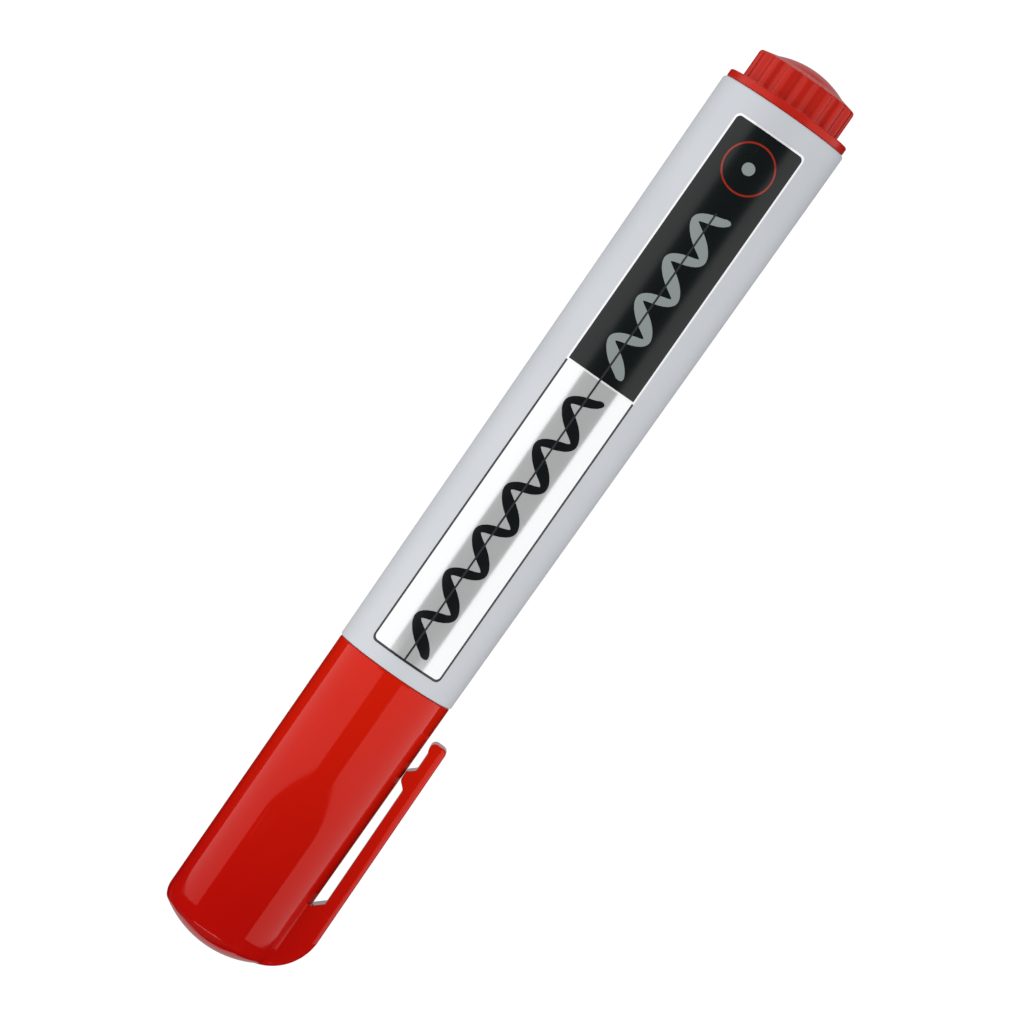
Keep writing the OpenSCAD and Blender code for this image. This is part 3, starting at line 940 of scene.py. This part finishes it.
# %% Sealing cup
cup_start, cup_mouth, cup_r = 4.7, 23.8, 5.6
cup_profile = [(cup_start, 0), (cup_start, 7.0), (cup_start + 1, 7.05), (cup_start + 1, cup_r),
               (18, cup_r), (cup_mouth - 0.2, cup_r), (cup_mouth, cup_r - 0.2), (cup_mouth, 4.76),
               (cup_mouth - 0.2, 4.56), (18.2, 4.56), (18, 4.75), (cup_start + 1, 4.75),
               (cup_start + 1, 0)]
fin_turn = 8.2
cup = turned("sealing_cup", cup_profile, sectors=rib_sectors(fin_turn, wall_steps=16), closed=False)
pull_ribs(cup, fin_turn, x0=cup_start + 1.1, x1=18.05, wall_r=(5.5, 5.65), rib_r=7.04)
lay_down(cup, cup_milky, "cap", ["inner_cap"])

# %% [markdown]
# The reservoir and its film stay as they are in CAD, because plain rods are what they really are.
# They only need their materials.

# %% Reservoir and film
film = moulded("clear_wrap", ((36, (0.80, 0.80, 0.78)), (112, (0.78, 0.76, 0.74))), 0.16,
               grain_depth=0.05)
for name, material in (("reservoir", ink_fibre), ("reservoir_wrap", film)):
    inner_node = frame["nodes"][name]
    inner_node.data.materials.clear()
    inner_node.data.materials.append(material)
    print(name, "has", len(inner_node.data.vertices), "vertices")

# %% [markdown]
# The label is a printed film on a bright metallised ground. Its ground half mirrors the white cards
# and half scatters light, so it is white where it mirrors a card and grey where it mirrors the slot
# between them. The inks on it are glossy too, and the black one shows the same stripe.

# %% Materials: label


def printed(name, colour, metallic=0.0, roughness=0.13, speckle=0.04):
    """A glossy printed layer with a fine speckle in its tone and its gloss."""
    material, tree, shader = new_material(name)
    out = use_group(tree, skin, Grain_Size=5200.0, Drift_Size=180.0)
    tone = ranged(tree, out["Grain"], to_low=1 - speckle, to_high=1 + speckle)
    shaded = node(tree, "ShaderNodeVectorMath", {0: colour, 1: tone}, operation="MULTIPLY")
    tree.links.new(shaded.outputs[0], shader.inputs["Base Color"])
    uneven_gloss(tree, shader, out["Drift"], roughness, scratches=0.1, spread=0.03)
    shader.inputs["Metallic"].default_value = metallic
    return material


silver = printed("label_silver", (0.96, 0.985, 0.985), metallic=0.56)
border_white = printed("label_white", (0.95, 0.95, 0.96), metallic=0.2)
ink_black = printed("label_black", (0.006, 0.009, 0.009), roughness=0.22)
ink_black.node_tree.nodes["Principled BSDF"].inputs["Specular IOR Level"].default_value = 0.44
ink_line = printed("label_line", (0.035, 0.035, 0.04))
ink_grey = printed("label_grey", (0.36, 0.40, 0.40), metallic=0.25)
ink_red = printed("label_red", (0.32, 0.022, 0.010))

# %% [markdown]
# The label's layers are all wrapped on the barrel in the same way. Each starts as a flat grid, a
# formula gives the place of its points on the unrolled film, and they are then wound round the
# barrel at the layer's own height. A Solidify modifier gives the layer its thickness.

# %% Helpers: wrap a printed layer
label_start, label_end = 44.84, 125.97
label_half = 5.5
label_mid = 0.2
film_bottom, film_top, ink_bottom = 0.004, 0.09, 0.085
line_top, field_top, art_top, hairline_top = 0.097, 0.104, 0.112, 0.12


def wound(x, across, lift):
    """A place on the unrolled label, wound on the barrel; across is towards the clip."""
    radius = barrel_r(x) + lift
    turn = across / barrel_r(x)
    return Vector((x, -radius * math.sin(turn), radius * math.cos(turn))) * MM


def layer(name, material, place, columns, rows, bottom, top):
    """One layer of the label. place(s, t) gives the unrolled place for s and t from 0 to 1."""
    bpy.ops.object.select_all(action="DESELECT")
    bpy.ops.mesh.primitive_grid_add(x_subdivisions=columns, y_subdivisions=rows, size=2)
    piece = bpy.context.object
    piece.name = name
    for v in piece.data.vertices:
        x, across = place((v.co.x + 1) / 2, (v.co.y + 1) / 2)
        v.co = wound(x, across, bottom)
    bpy.ops.object.mode_set(mode="EDIT")
    bpy.ops.mesh.select_all(action="SELECT")
    bpy.ops.mesh.remove_doubles(threshold=1e-7)
    bpy.ops.mesh.normals_make_consistent(inside=False)
    bpy.ops.object.mode_set(mode="OBJECT")
    normal = piece.data.polygons[len(piece.data.polygons) // 2].normal
    solid = piece.modifiers.new("thickness", "SOLIDIFY")
    solid.thickness = (top - bottom) * MM
    solid.offset = 1 if normal.z > 0 else -1
    bpy.ops.object.modifier_apply(modifier=solid.name)
    bpy.ops.object.mode_set(mode="EDIT")
    bpy.ops.mesh.select_all(action="SELECT")
    bpy.ops.mesh.normals_make_consistent(inside=False)
    bpy.ops.object.mode_set(mode="OBJECT")
    lay_down(piece, material, "barrel")
    return piece


def panel(x0, x1, half, left_corner, right_corner):
    """A rectangle with rounded corners; a tenth of the columns goes to each pair of corners."""
    share = 0.1

    def place(s, t):
        x, width = x0 + left_corner + (x1 - right_corner - x0 - left_corner) * (
            s - share) / (1 - 2 * share), half
        if s < share:
            turn = math.radians(90 * s / share)
            x = x0 + left_corner * (1 - math.cos(turn))
            width = half - left_corner * (1 - math.sin(turn))
        if s > 1 - share:
            turn = math.radians(90 * (1 - s) / share)
            x = x1 - right_corner * (1 - math.cos(turn))
            width = half - right_corner * (1 - math.sin(turn))
        return x, label_mid + (2 * t - 1) * width
    return place

# %% [markdown]
# The film comes first, then the frame and the two coloured fields on it.

# %% Label: film and fields
corner, square = 0.8, 0.01
colour_change = 88.03
frame_width, border_width = 0.35, 0.3
black_start = colour_change + 0.26
film_piece = layer("label_sheet", border_white,
                   panel(label_start, label_end, label_half, corner, corner),
                   100, 36, film_bottom, film_top)
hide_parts("label")
layer("label_frame", ink_line,
      panel(label_start + 0.02, colour_change, label_half - 0.02, corner, square),
      80, 36, ink_bottom, line_top)
layer("label_field", silver,
      panel(label_start + frame_width, colour_change + 0.01, label_half - frame_width,
            corner - frame_width / 2, square), 80, 36, ink_bottom, field_top)
layer("label_black_field", ink_black,
      panel(black_start, label_end - border_width, label_half - border_width, square,
            corner - border_width / 2), 80, 36, ink_bottom, field_top)

# %% [markdown]
# Real markers carry a name here. This one has a bold wave instead, as if drawn with a broad nib:
# heavy where it runs away from the clip and light on the way back. It is black on the bright field
# and goes on in silver on the black one. A thin ring with a dot stands at the end of the label.

# %% Label: wave, line and ring
wave_height, wave_lean = 1.85, 0.22
stroke_half, stroke_swell, stroke_bias = 0.47, 0.13, 0.12
end_scale = 9.0


def wave(x0, x1, periods):
    """A pen stroke along a wave, with round ends."""
    stroke_len = x1 - x0

    def centre(s):
        phase = 2 * math.pi * periods * s
        v = wave_height * math.cos(phase)
        return Vector((x0 + stroke_len * s - wave_lean * v, v))

    def place(s, t):
        step = 1e-4
        way = (centre(s + step) - centre(s - step)).normalized()
        phase = 2 * math.pi * periods * s
        half = (stroke_half + stroke_swell * (1 - math.cos(2 * phase))
                + stroke_bias * math.sin(phase))
        from_end = min(s, 1 - s) * periods * end_scale
        if from_end < half:
            half = math.sqrt(max(half ** 2 - (half - from_end) ** 2, 0))
        point = centre(s) + Vector((-way.y, way.x)) * (2 * t - 1) * half
        return point.x, label_mid + point.y
    return place


layer("label_wave_dark", ink_black, wave(46.9, 86.5, 6), 420, 6, ink_bottom, art_top)
layer("label_wave_light", ink_grey, wave(89.9, 114.3, 4), 300, 6, ink_bottom, art_top)
hairline_len, hairline_mid, hairline_half = 68.6, 0.09, 0.125
layer("label_hairline", ink_line,
      lambda s, t: (label_start + 0.3 + hairline_len * s,
                    hairline_mid + hairline_half * (2 * t - 1)), 90, 2, ink_bottom, hairline_top)

ring_x, ring_r, ring_thick, dot_r = 120.6, 3.4, 0.12, 0.85


def ring_place(inner, outer):
    """A ring or, with inner 0, a disc."""
    return lambda s, t: (ring_x + (inner + (outer - inner) * t) * math.cos(2 * math.pi * s),
                         label_mid + (inner + (outer - inner) * t) * math.sin(2 * math.pi * s))


layer("label_ring", ink_red, ring_place(ring_r - ring_thick, ring_r + ring_thick), 96, 2,
      ink_bottom, art_top)
layer("label_dot", ink_grey, ring_place(0, dot_r), 48, 5, ink_bottom, art_top)
